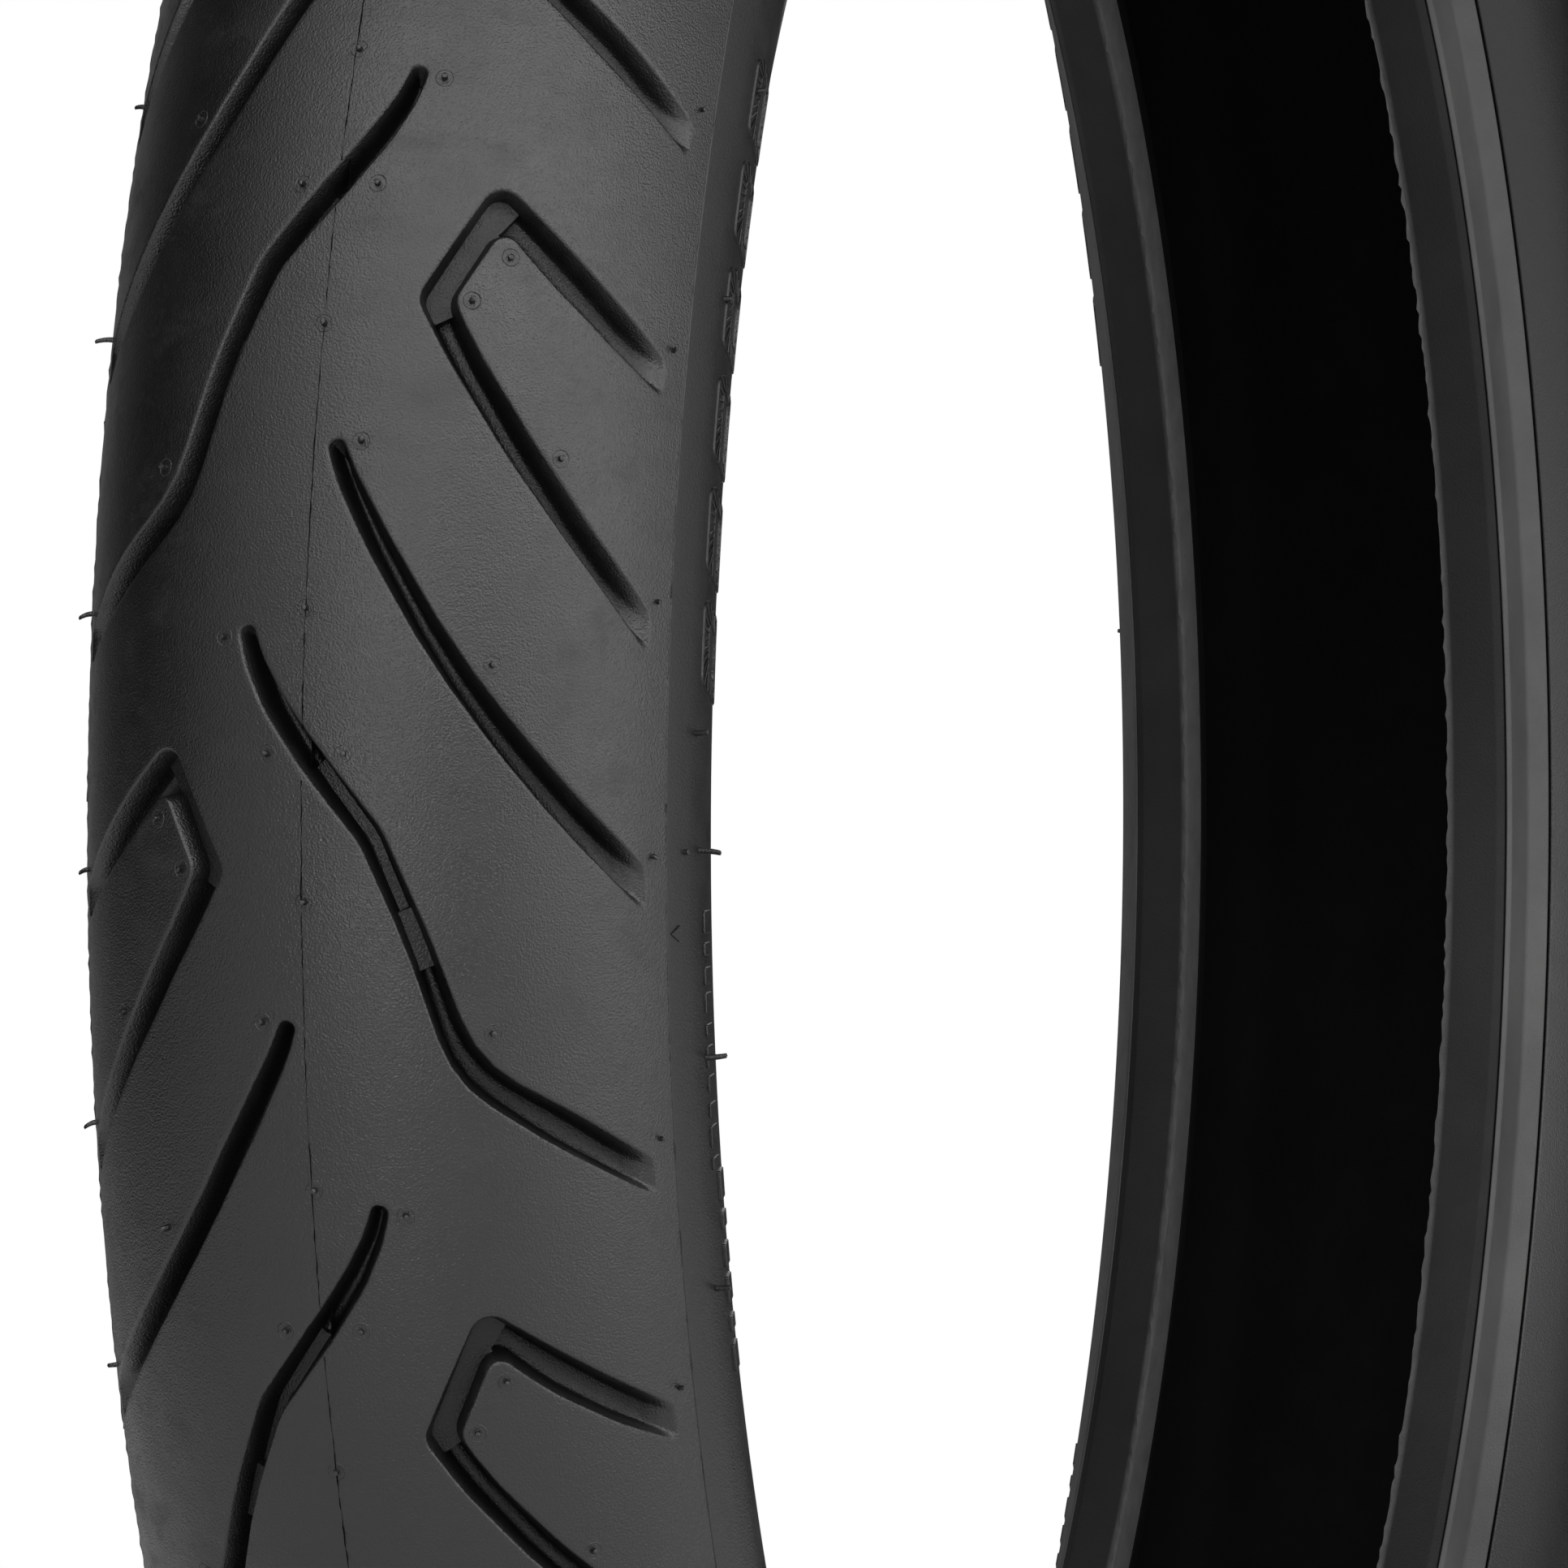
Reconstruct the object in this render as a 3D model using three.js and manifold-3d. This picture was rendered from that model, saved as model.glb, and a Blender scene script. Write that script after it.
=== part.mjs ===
// Loose tubeless motorcycle tyre, size 100/80-17, as the separate pieces that it is built from.
// Millimetres, +Z up. The origin is the wheel centre and the axle runs along +Y, so every piece is a
// ring about Y. A ring's section is drawn in (radius, y); "left" is the +Y side and "right" the -Y side.
import * as THREE from "three";
import { mergeVertices } from "three/addons/utils/BufferGeometryUtils.js";
import Module from "manifold-3d";

// Driving dimensions: the outline
const TYRE_RADIUS = 295.9;
const CROWN_RADIUS = 48.6; // the round crown, across the tyre
const SHOULDER = THREE.MathUtils.degToRad(67.7); // crown angle from the centre to the tread's edge
const WIDEST = { radius: 257, y: 47.2 };
const FLANGE = { y: 34.8, low: 219.5, high: 229 }; // flat band that leans on the rim flange
const TOE = { radius: 216, y: 23.9 };

// Driving dimensions: the layers, from the outside in
const GAP = 0.15;
const CAP = 6;
const BASE = 1;
const BREAKER = 0.7;
const PLY = 0.7;
const LINER = 1;
const WRAP = 0.5;
const OUTER_BREAKER_REACH = 0.58; // share of the crown angle
const INNER_BREAKER_REACH = 2 / 3;

// Driving dimensions: the tread pattern
const PITCHES = 11;
const GROOVE_DEPTH = { middle: 5, end: 2.6, fadeFrom: 28, fadeTo: 54 }; // fades towards the shoulder
const GROOVE_DRAFT = 0.75; // floor width as a share of the mouth width
const CUT_ABOVE = 4; // how far a cutter stands out of the tread

// Facets
const RING_STEPS = 24;
const CROWN_STEPS = 4; // on the tread surface, centre to edge
const STATIONS = [0, 1 / 3, 2 / 3, 1]; // on the inner layers, as shares of the crown angle

const CROWN_CENTRE = TYRE_RADIUS - CROWN_RADIUS;
const PITCH = (2 * Math.PI * TYRE_RADIUS) / PITCHES;

// Depths below the tread surface, at the centre and at the tread's edge
const breakerTop = CAP + BASE + 2 * GAP;
const innerBreakerTop = breakerTop + BREAKER + GAP;
const carcassTop = innerBreakerTop + BREAKER + GAP;
const EDGE = { cap: 4.2, base: 5, carcass: 6.2 };

const wasm = await Module();
wasm.setup();

// ---------- sections ----------

function crownPoint(share, depth) {
  const angle = share * SHOULDER;
  const radius = CROWN_RADIUS - depth;
  return new THREE.Vector2(CROWN_CENTRE + radius * Math.cos(angle), radius * Math.sin(angle));
}

// A line under the crown from its centre out to a share of the crown angle. It bends only at STATIONS,
// so the lines of two layers stay parallel. The depth changes only beyond the last inner station.
function crownLine(depth, edgeDepth, from = 0, to = 1) {
  const bends = STATIONS.map((share) => crownPoint(share, share === 1 ? edgeDepth : depth));
  const at = (share) => {
    const step = Math.min(Math.floor(share * (STATIONS.length - 1)), STATIONS.length - 2);
    const along = (share - STATIONS[step]) / (STATIONS[step + 1] - STATIONS[step]);
    return bends[step].clone().lerp(bends[step + 1], along);
  };
  const middle = STATIONS.filter((share) => share > from && share < to);
  return [from, ...middle, to].map(at);
}

const mirrored = (line) => line.map((p) => new THREE.Vector2(p.x, -p.y));

// A line that starts at the centre plane, continued on the other side.
const bothSides = (line) => [...mirrored(line.slice(1)).reverse(), ...line];

// The line moved sideways by a distance, to its left, with mitred corners.
function offset(line, distance) {
  const normals = line.slice(1).map((p, i) => {
    const along = p.clone().sub(line[i]).normalize();
    return new THREE.Vector2(-along.y, along.x);
  });
  return line.map((p, i) => {
    const before = normals[Math.max(i - 1, 0)];
    const after = normals[Math.min(i, normals.length - 1)];
    const mitre = before.clone().add(after);
    return p.clone().addScaledVector(mitre, (2 * distance) / mitre.lengthSq());
  });
}

const strip = (line, near, far) => [...offset(line, near), ...offset(line, far).reverse()];
const between = (outer, inner) => [...outer, ...inner.slice().reverse()];
const outline = (points) => points.map(([radius, y]) => new THREE.Vector2(radius, y));

// ---------- the carcass line ----------

// The outer face of the outer ply: under the tread, down the sidewall, round the bead core, and up
// again to the end of the turn-up. The cavity, and then the rim, are on its left.
const carcassHalf = [
  ...crownLine(carcassTop, EDGE.carcass),
  ...outline([
    [250, 43],
    [242.5, 40.3],
    [227.5, 26.4],
    [219.4, 26.4],
    [219.9, 31.25],
    [230.3, 31.25],
    [238.3, 38.7],
  ]),
];
const carcass = bothSides(carcassHalf);
const BEAD_INSIDE = 6; // index in carcassHalf of the corner above the toe
const linerTop = 2 * (PLY + GAP);
const linerEnd = new THREE.Vector2(224.8, carcassHalf[BEAD_INSIDE].y);
const linerLine = bothSides([...carcassHalf.slice(0, BEAD_INSIDE + 1), linerEnd]);

// ---------- solids ----------

// A closed section turned about Y, as one closed body with its faces outward.
function ring(section) {
  const points = THREE.ShapeUtils.isClockWise(section) ? section.slice().reverse() : section;
  return new THREE.LatheGeometry([...points, points[0]], RING_STEPS);
}

function toManifold(geometry) {
  const bare = geometry.clone().deleteAttribute("normal").deleteAttribute("uv");
  const merged = mergeVertices(bare);
  return new wasm.Manifold(
    new wasm.Mesh({
      numProp: 3,
      vertProperties: new Float32Array(merged.attributes.position.array),
      triVerts: new Uint32Array(merged.index.array),
    }),
  );
}

function toGeometry(manifold) {
  const mesh = manifold.getMesh();
  const geometry = new THREE.BufferGeometry();
  geometry.setAttribute("position", new THREE.BufferAttribute(mesh.vertProperties, 3));
  geometry.setIndex(new THREE.BufferAttribute(mesh.triVerts, 1));
  geometry.computeVertexNormals();
  return geometry;
}

// ---------- the tread pattern ----------

// Each groove is a centre line of [across, round, width]. "Across" is the distance over the crown from
// the centre line, and "round" the distance round the tyre; these run to the -Y side of the tread.
const S_GROOVE = [
  [9.4, 31.5, 3],
  [2.3, 17.5, 4.1],
  [-10, 2.3, 3.9],
  [-16.6, -12.5, 3.8],
  [-23.3, -32.5, 4.5],
  [-38, -42.5, 5.8],
  [-53, -52.5, 4.8],
];
const LONG_GROOVE = [
  [-3, 59.5, 2.8],
  [-14, 38.8, 4],
  [-31, 15.4, 4.6],
  [-53, -6.4, 5.4],
];
const CHEVRON_GROOVE = [
  [-53, 34.5, 4.6],
  [-30, 60.5, 4.7],
  [-15.9, 81.8, 4.9],
  [-24.1, 97.6, 4.8],
  [-53, 76, 5.4],
];
const STRAIGHT_END = 50; // a groove that reaches this far across ends parallel to the tread's edge

function grooveDepth(across) {
  const { middle, end, fadeFrom, fadeTo } = GROOVE_DEPTH;
  const reach = THREE.MathUtils.clamp(Math.abs(across), fadeFrom, fadeTo);
  return THREE.MathUtils.mapLinear(reach, fadeFrom, fadeTo, middle, end);
}

function treadPoint(across, round, height) {
  const crown = across / CROWN_RADIUS;
  const turn = round / TYRE_RADIUS;
  const radius = CROWN_CENTRE + (CROWN_RADIUS + height) * Math.cos(crown);
  const y = (CROWN_RADIUS + height) * Math.sin(crown);
  return [-radius * Math.cos(turn), y, radius * Math.sin(turn)];
}

// The groove's two edges at each point of its centre line, as unit steps towards its left edge.
function edgeSteps(line) {
  const normals = line.slice(1).map(([across, round], i) => {
    const along = new THREE.Vector2(across - line[i][0], round - line[i][1]).normalize();
    return new THREE.Vector2(-along.y, along.x);
  });
  return line.map(([across], i) => {
    const before = normals[Math.max(i - 1, 0)];
    const after = normals[Math.min(i, normals.length - 1)];
    const atEnd = i === 0 || i === line.length - 1;
    if (atEnd && Math.abs(across) > STRAIGHT_END) {
      return new THREE.Vector2(0, 1 / before.y);
    }
    const mitre = before.clone().add(after);
    return mitre.multiplyScalar(2 / mitre.lengthSq());
  });
}

// The solid that cuts one groove: a tapered channel, closed at both ends.
function grooveCutter(line, side, shift) {
  const corners = [
    { edge: 1, onFloor: false },
    { edge: -1, onFloor: false },
    { edge: -GROOVE_DRAFT, onFloor: true },
    { edge: GROOVE_DRAFT, onFloor: true },
  ];
  const steps = edgeSteps(line);
  const position = line.flatMap(([across, round, width], i) =>
    corners.flatMap(({ edge, onFloor }) => {
      const height = onFloor ? -grooveDepth(across) : CUT_ABOVE;
      const reach = (edge * width) / 2;
      return treadPoint(side * (across + reach * steps[i].x), shift + round + reach * steps[i].y, height);
    }),
  );
  const index = [0, 1, 2, 0, 2, 3];
  for (let i = 0; i < line.length - 1; i++) {
    for (let k = 0; k < corners.length; k++) {
      const a = i * corners.length + k;
      const b = i * corners.length + ((k + 1) % corners.length);
      index.push(a, a + corners.length, b, b, a + corners.length, b + corners.length);
    }
  }
  const last = (line.length - 1) * corners.length;
  index.push(last, last + 2, last + 1, last, last + 3, last + 2);
  const turned = side > 0 ? index : index.reverse();
  const geometry = new THREE.BufferGeometry();
  geometry.setAttribute("position", new THREE.Float32BufferAttribute(position, 3));
  geometry.setIndex(turned);
  return toManifold(geometry);
}

function treadCap() {
  const surface = [];
  for (let step = 0; step <= CROWN_STEPS; step++) {
    surface.push(crownPoint(step / CROWN_STEPS, 0));
  }
  let cap = toManifold(ring(between(bothSides(surface), bothSides(crownLine(CAP, EDGE.cap)))));
  for (let pitch = 0; pitch < PITCHES; pitch++) {
    for (const groove of [S_GROOVE, LONG_GROOVE, CHEVRON_GROOVE]) {
      cap = cap.subtract(grooveCutter(groove, 1, pitch * PITCH));
      cap = cap.subtract(grooveCutter(groove, -1, (pitch + 0.5) * PITCH));
    }
  }
  return toGeometry(cap);
}

// ---------- sections of the paired pieces, on the left side ----------

const cushionStart = INNER_BREAKER_REACH + 0.02;
const edgeCushion = between(
  crownLine(CAP + BASE + 2 * GAP, EDGE.base + GAP, cushionStart),
  crownLine(carcassTop - GAP, EDGE.carcass - GAP, cushionStart),
);

// The sidewall's outer face, and the same sidewall's inner face over the ply and its turn-up.
const sidewallTop = 1 + GAP / (CROWN_RADIUS * SHOULDER);
const sidewall = [
  crownPoint(sidewallTop, 0),
  ...outline([
    [WIDEST.radius, WIDEST.y],
    [250, 46.4],
    [241.5, 43.7],
    [232.7, 38.15],
    [233.9, 37],
    [237.2, 40.1],
    [239.5, 37.85],
    [242.4, 40.55],
    [250, 43.2],
  ]),
  crownPoint(sidewallTop, EDGE.carcass - GAP),
];

const rimStrip = outline([
  [218.5, 33.85],
  [FLANGE.low, FLANGE.y],
  [FLANGE.high, FLANGE.y],
  [232.5, 37.9],
  [233.6, 36.75],
  [229.4, 33],
  [228.6, 33.85],
]);

const chafer = outline([
  [224.5, TOE.y],
  [TOE.radius, TOE.y],
  [217.4, 32.5],
  [218.35, 33.7],
  [228.3, 33.7],
  [228.3, 33],
  [218.33, 33],
  [217.46, 24.65],
  [224.5, 24.65],
]);

const CORE = { low: 220.05, high: 226.65, inside: 26.55, outside: 31.1 };

// The fabric round the bead wires is a U, open towards the filler.
const beadWrap = outline([
  [CORE.high, CORE.outside],
  [CORE.low, CORE.outside],
  [CORE.low, CORE.inside],
  [CORE.high, CORE.inside],
  [CORE.high, CORE.inside + WRAP],
  [CORE.low + WRAP, CORE.inside + WRAP],
  [CORE.low + WRAP, CORE.outside - WRAP],
  [CORE.high, CORE.outside - WRAP],
]);

const wireInset = WRAP + 0.1;
const beadWire = outline([
  [CORE.low + wireInset, CORE.inside + wireInset],
  [CORE.low + wireInset, CORE.outside - wireInset],
  [CORE.high - GAP, CORE.outside - wireInset],
  [CORE.high - GAP, CORE.inside + wireInset],
]);

const beadFiller = outline([
  [226.85, 26.6],
  [226.85, 31.1],
  [230.35, 31.1],
  [237.8, 37.95],
  [238.4, 36.75],
  [227.3, 26.6],
]);

// ---------- the tyre ----------

const rubber = (shade, roughness = 0.85) =>
  new THREE.MeshStandardMaterial({ color: new THREE.Color(shade, shade, shade), roughness, metalness: 0 });
const materials = {
  tread: rubber(0.035),
  base: rubber(0.045),
  side: rubber(0.03),
  liner: rubber(0.05, 0.6),
  filler: rubber(0.025),
  cushion: rubber(0.04),
  cord: new THREE.MeshStandardMaterial({ color: 0x6e5a3c, roughness: 0.9, metalness: 0 }),
  fabric: new THREE.MeshStandardMaterial({ color: 0x3a362e, roughness: 0.95, metalness: 0 }),
  wire: new THREE.MeshStandardMaterial({ color: 0xb08a4e, roughness: 0.35, metalness: 1 }),
};

const tyre = new THREE.Group();

function addPiece(name, geometry, material) {
  const piece = new THREE.Mesh(geometry, material);
  piece.name = name;
  tyre.add(piece);
}

function addPair(name, section, material) {
  addPiece(`${name}_left`, ring(section), material);
  addPiece(`${name}_right`, ring(mirrored(section)), material);
}

function addCrownLayer(name, top, thickness, reach, material) {
  const outer = bothSides(crownLine(top, top, 0, reach));
  const inner = bothSides(crownLine(top + thickness, top + thickness, 0, reach));
  addPiece(name, ring(between(outer, inner)), material);
}

const baseOuter = bothSides(crownLine(CAP + GAP, EDGE.cap + GAP));
const baseInner = bothSides(crownLine(CAP + GAP + BASE, EDGE.base));

addPiece("tread_cap", treadCap(), materials.tread);
addPiece("tread_base", ring(between(baseOuter, baseInner)), materials.base);
addCrownLayer("breaker_outer", breakerTop, BREAKER, OUTER_BREAKER_REACH, materials.cord);
addCrownLayer("breaker_inner", innerBreakerTop, BREAKER, INNER_BREAKER_REACH, materials.cord);
addPiece("carcass_ply_outer", ring(strip(carcass, 0, PLY)), materials.cord);
addPiece("carcass_ply_inner", ring(strip(carcass, PLY + GAP, 2 * PLY + GAP)), materials.cord);
addPiece("inner_liner", ring(strip(linerLine, linerTop, linerTop + LINER)), materials.liner);
addPair("edge_cushion", edgeCushion, materials.cushion);
addPair("sidewall", sidewall, materials.side);
addPair("rim_strip", rimStrip, materials.side);
addPair("chafer", chafer, materials.fabric);
addPair("bead_filler", beadFiller, materials.filler);
addPair("bead_wrap", beadWrap, materials.fabric);
addPair("bead_wire", beadWire, materials.wire);

export default tyre;
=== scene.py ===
"""Looks of the loose motorcycle tyre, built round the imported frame. Metres, +Z up, axle along Y."""

import math
import random

import bmesh
import bpy
import numpy as np
from mathutils import Matrix, Vector
from mathutils.geometry import delaunay_2d_cdt


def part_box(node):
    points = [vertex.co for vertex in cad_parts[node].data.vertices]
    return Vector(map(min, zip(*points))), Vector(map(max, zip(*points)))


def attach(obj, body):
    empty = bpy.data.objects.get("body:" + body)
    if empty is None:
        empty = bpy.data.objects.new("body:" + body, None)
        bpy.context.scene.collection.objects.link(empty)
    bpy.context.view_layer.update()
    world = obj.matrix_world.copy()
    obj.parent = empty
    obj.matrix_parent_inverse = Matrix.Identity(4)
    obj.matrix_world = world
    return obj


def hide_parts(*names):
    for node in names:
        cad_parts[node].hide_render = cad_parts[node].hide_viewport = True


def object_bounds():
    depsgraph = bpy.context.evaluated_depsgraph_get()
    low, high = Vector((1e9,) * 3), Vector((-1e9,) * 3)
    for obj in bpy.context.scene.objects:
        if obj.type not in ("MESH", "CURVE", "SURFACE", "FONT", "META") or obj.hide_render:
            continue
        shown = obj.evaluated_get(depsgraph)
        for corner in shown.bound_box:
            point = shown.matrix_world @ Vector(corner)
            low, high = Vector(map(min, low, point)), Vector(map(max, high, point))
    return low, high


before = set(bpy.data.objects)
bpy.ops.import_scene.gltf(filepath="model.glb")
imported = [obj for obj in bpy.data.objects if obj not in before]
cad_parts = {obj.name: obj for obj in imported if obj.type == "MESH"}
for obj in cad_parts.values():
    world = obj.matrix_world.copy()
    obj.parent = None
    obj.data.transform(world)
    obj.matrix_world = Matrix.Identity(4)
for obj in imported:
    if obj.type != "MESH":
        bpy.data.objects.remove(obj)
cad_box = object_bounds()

# Lengths below are in millimetres. A point on the tread is (across, round): the distance over the
# crown from the centre line, towards +Y, and the distance round the tyre from its -X end, upwards.
MM = 0.001
TYRE_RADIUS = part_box("tread_cap")[1].z / MM
CROWN_RADIUS = 48.6
CROWN_CENTRE = TYRE_RADIUS - CROWN_RADIUS
SEAM = CROWN_RADIUS * math.radians(67.7)  # how far across the tread ends and the sidewall begins
RING_STEPS = 300
WELD = 0.002  # mm; points closer than this become one

PITCHES = 11
PITCH = 2 * math.pi * TYRE_RADIUS / PITCHES
PHASE = 7.5  # where the pattern's drawing starts, round the tyre

# Depths below the tread surface, at the centre and at the seam
CAP_INNER = (6.0, 4.2)
BASE = ((6.15, 4.35), (7.15, 5.0))
BREAKER_OUTER = {"depths": (7.3, 8.0), "reach": 0.58}
BREAKER_INNER = {"depths": (8.15, 8.85), "reach": 2 / 3}
CUSHION = {"outer": (7.3, 5.15), "inner": (8.85, 6.05), "start": 2 / 3 + 0.02}
CARCASS = (9.0, 6.2)
PLY = 0.7
GAP = 0.15
LINER = 1.0

scene = bpy.context.scene


# ---------- places ----------


def ring_place(radius, y, turn):
    """The point at a radius, a height along the axle and an angle from the -X end, in metres."""
    return np.stack([-radius * np.cos(turn), y + 0 * turn, radius * np.sin(turn)], -1) * MM


def tread_place(across, round_, height=0.0):
    """The point on the crown, or at a height over it, in metres."""
    lean = across / CROWN_RADIUS
    radius = CROWN_CENTRE + (CROWN_RADIUS + height) * np.cos(lean)
    y = (CROWN_RADIUS + height) * np.sin(lean)
    return ring_place(radius, y, (round_ + PHASE) / TYRE_RADIUS)


# ---------- outlines ----------


def fine(points, step, closed=True):
    """The outline with points added so that no edge is longer than step."""
    out = []
    for a, b in zip(points, np.roll(points, -1, axis=0) if closed else points[1:]):
        parts = max(1, math.ceil(np.linalg.norm(b - a) / step))
        out += [a + (b - a) * i / parts for i in range(parts)]
    return np.array(out if closed else [*out, points[-1]])


def rounded(corners, arc_step=0.25, closed=True):
    """An outline through corners of (x, y, radius), with each corner turned into an arc."""
    points = [Vector(c[:2]) for c in corners]
    out = []
    last = len(points) - 1
    for i, (corner, (*_, radius)) in enumerate(zip(points, corners)):
        if radius == 0 or (not closed and i in (0, last)):
            out.append(corner)
            continue
        before = points[i - 1] - corner
        after = points[(i + 1) % len(points)] - corner
        half = before.angle(after) / 2
        reach = min(radius / math.tan(half), 0.48 * before.length, 0.48 * after.length)
        size = reach * math.tan(half)
        start = corner + before.normalized() * reach
        centre = corner + (before.normalized() + after.normalized()).normalized() * size / math.sin(half)
        sweep = (math.pi - 2 * half) * (1 if before.cross(after) < 0 else -1)
        steps = max(1, math.ceil(abs(sweep) / arc_step))
        arm = start - centre
        for k in range(steps + 1):
            turned = arm.copy()
            turned.rotate(Matrix.Rotation(sweep * k / steps, 2))
            out.append(centre + turned)
    return np.array([tuple(p) for p in out])


def outward(points):
    """Unit normals at the points of a closed outline that runs anticlockwise, pointing outward."""
    edge = np.roll(points, -1, axis=0) - points
    normal = np.stack([edge[:, 1], -edge[:, 0]], -1)
    normal /= np.linalg.norm(normal, axis=1, keepdims=True)
    mitre = normal + np.roll(normal, 1, axis=0)
    return 2 * mitre / np.sum(mitre * mitre, axis=1, keepdims=True)


def area(points):
    """The area in a closed outline, negative where it runs clockwise."""
    x, y = points.T
    return 0.5 * float(np.sum(x * np.roll(y, -1) - y * np.roll(x, -1)))


def distance(points, outline):
    """How far inside a closed outline each point is; negative outside."""
    a, b = outline, np.roll(outline, -1, axis=0)
    edge = b - a
    rel = points[:, None, :] - a[None]
    along = np.clip(np.sum(rel * edge, -1) / np.sum(edge * edge, -1), 0, 1)
    gap = np.linalg.norm(rel - along[..., None] * edge, axis=-1).min(1)
    above = (a[None, :, 1] > points[:, None, 1]) != (b[None, :, 1] > points[:, None, 1])
    rise = np.where(edge[:, 1] == 0, 1e-12, edge[:, 1])
    cross = a[:, 0] + (points[:, None, 1] - a[:, 1]) * edge[:, 0] / rise
    inside = np.sum(above & (points[:, None, 0] < cross), 1) % 2 == 1
    return np.where(inside, gap, -gap)


# ---------- pieces ----------


def add_piece(name, points, faces, material, slot, replaces=(), crease=50):
    """A mesh that rides on the tyre: points that meet are joined, and its faces look outward.
    Edges that bend by more than crease degrees stay sharp."""
    mesh = bpy.data.meshes.new(name)
    mesh.from_pydata(np.asarray(points).tolist(), [], faces)
    skin = bmesh.new()
    skin.from_mesh(mesh)
    bmesh.ops.remove_doubles(skin, verts=skin.verts, dist=WELD * MM)
    bmesh.ops.recalc_face_normals(skin, faces=skin.faces)
    skin.to_mesh(mesh)
    skin.free()
    mesh.polygons.foreach_set("use_smooth", np.ones(len(mesh.polygons), bool))
    mesh.set_sharp_from_angle(angle=math.radians(crease))
    mesh.materials.append(material)
    piece = bpy.data.objects.new(name, mesh)
    scene.collection.objects.link(piece)
    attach(piece, "root")
    if replaces:
        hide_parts(*replaces)
    return piece


def bridge(here, there, count):
    """Faces between two closed loops of count points, which start at the points here and there."""
    return [(here + k, here + (k + 1) % count, there + (k + 1) % count, there + k) for k in range(count)]


def ring_mesh(section, steps=RING_STEPS):
    """Points and faces of a closed section of (radius, y), turned about the axle."""
    turn = np.arange(steps) * 2 * math.pi / steps
    points = ring_place(section[None, :, 0], section[None, :, 1], turn[:, None]).reshape(-1, 3)
    count = len(section)
    faces = []
    for i in range(steps):
        faces += bridge(i * count, (i + 1) % steps * count, count)
    return points, faces


def joined(meshes):
    """Several lists of points and faces as one."""
    points, faces, start = [], [], 0
    for own_points, own_faces in meshes:
        points.append(np.asarray(own_points))
        faces += [tuple(start + i for i in face) for face in own_faces]
        start += len(own_points)
    return np.concatenate(points), faces


# ---------- materials ----------

GROOVE_SHADE_DEPTHS = (1.2, 3.0)  # depths between which a groove's rubber gets painted shade: its gloss falls with depth
TOE_LIGHT_REACH = (24.3, 25.2)  # distances from the middle plane between which the painted light on the bead's toe ends


def shader(name, **values):
    """A new material, its node tree and its shader, with the values set on the shader's sockets."""
    material = bpy.data.materials.new(name)
    material.use_nodes = True
    tree = material.node_tree
    bsdf = next(n for n in tree.nodes if n.type == "BSDF_PRINCIPLED")
    for socket, value in values.items():
        bsdf.inputs[socket.replace("_", " ")].default_value = value
    return material, tree, bsdf


def add_node(tree, kind, **inputs):
    """A new node whose inputs are numbers, or links to other nodes' sockets."""
    node = tree.nodes.new(kind)
    for socket, value in inputs.items():
        if isinstance(value, bpy.types.NodeSocket):
            tree.links.new(value, node.inputs[socket])
        else:
            node.inputs[socket].default_value = value
    return node


def noise(tree, place, scale, detail=2.0, roughness=0.5):
    node = add_node(tree, "ShaderNodeTexNoise", Vector=place, Scale=scale, Detail=detail, Roughness=roughness)
    return node.outputs["Fac"]


def remap(tree, value, low, high, to_low, to_high):
    """The value, moved from one range to another and held inside it."""
    node = tree.nodes.new("ShaderNodeMapRange")
    tree.links.new(value, node.inputs["Value"])
    for socket, number in zip(("From Min", "From Max", "To Min", "To Max"), (low, high, to_low, to_high)):
        node.inputs[socket].default_value = number
    return node.outputs["Result"]


def math_node(tree, operation, first, second=0.0):
    """The outcome of a sum on one or two values, each a number or a socket."""
    node = tree.nodes.new("ShaderNodeMath")
    node.operation = operation
    for socket, value in zip(node.inputs, (first, second)):
        if isinstance(value, bpy.types.NodeSocket):
            tree.links.new(value, socket)
        else:
            socket.default_value = value
    return node.outputs["Value"]


def vector_length(tree, vector):
    node = add_node(tree, "ShaderNodeVectorMath")
    node.operation = "LENGTH"
    tree.links.new(vector, node.inputs[0])
    return node.outputs["Value"]


def shades(tree, value, dark, pale):
    """A colour between dark, where the value is 0, and pale, where it is 1."""
    node = tree.nodes.new("ShaderNodeValToRGB")
    tree.links.new(value, node.inputs["Fac"])
    node.color_ramp.elements[0].color = (*dark, 1)
    node.color_ramp.elements[1].color = (*pale, 1)
    return node.outputs["Color"]


def bump(tree, height, depth, under=None):
    """A normal for a relief of a depth in metres, on top of another relief if there is one."""
    node = add_node(tree, "ShaderNodeBump", Height=height, Distance=depth, Strength=1.0)
    if under:
        tree.links.new(under, node.inputs["Normal"])
    return node.outputs["Normal"]


def stretched(tree, place, across):
    """The place with its axle direction scaled, so that a noise on it makes streaks across the tread."""
    node = add_node(tree, "ShaderNodeMapping", Vector=place, Scale=(1, across, 1))
    return node.outputs["Vector"]


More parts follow.
